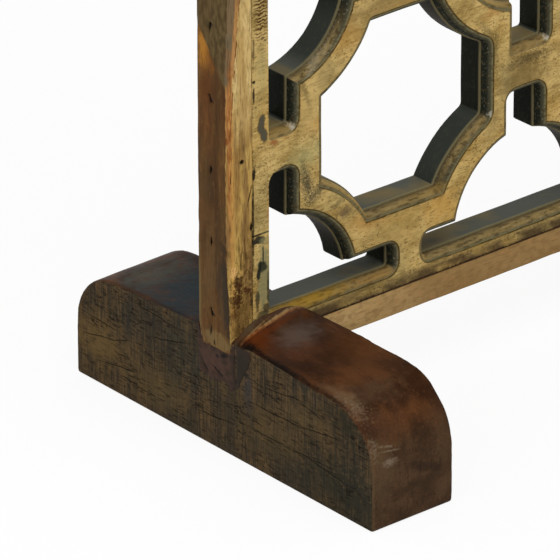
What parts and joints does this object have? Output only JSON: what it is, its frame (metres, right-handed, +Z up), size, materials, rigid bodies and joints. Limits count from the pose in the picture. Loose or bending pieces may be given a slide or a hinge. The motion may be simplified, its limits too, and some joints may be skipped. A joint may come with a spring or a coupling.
{
  "type": "fire screen",
  "caption": "Free-standing wooden fire screen: an openwork board of linked eight-sided rings in a slim post-and-rail frame on heavy round-shouldered block feet.",
  "frame": {"origin": "on the floor, in the middle between the two feet", "axes": "+X along the screen to the right, +Y from the front face to the back, +Z up"},
  "size_m": [0.8684, 0.28, 0.718],
  "materials": {
    "foot_wood": "dark stained hardwood, waxed on top, rough sawn on the outer sides",
    "rail_wood": "pale hardwood, thin worn wax",
    "post_wood": "brown stained hardwood, waxed",
    "board_wood": "hand-cut yellow hardwood with dark grime in the mouldings",
    "filler": "dark red-brown wax and sawdust filler, matte",
    "nail_iron": "blackened iron",
    "screw_steel": "dull zinc"
  },
  "bodies": {
    "root": {"left_foot": "foot_wood", "right_foot": "foot_wood", "bottom_rail": "rail_wood", "top_rail": "rail_wood", "left_post": "post_wood", "right_post": "post_wood", "fretwork_plank_1": "board_wood", "fretwork_plank_2": "board_wood", "fretwork_plank_3": "board_wood", "fretwork_plank_4": "board_wood", "fretwork_plank_5": "board_wood", "left_joint_filler": "filler", "right_joint_filler": "filler", "left_post_nails": "nail_iron", "right_post_nails": "nail_iron", "left_foot_screws": "screw_steel", "right_foot_screws": "screw_steel"}
  },
  "joints": []
}
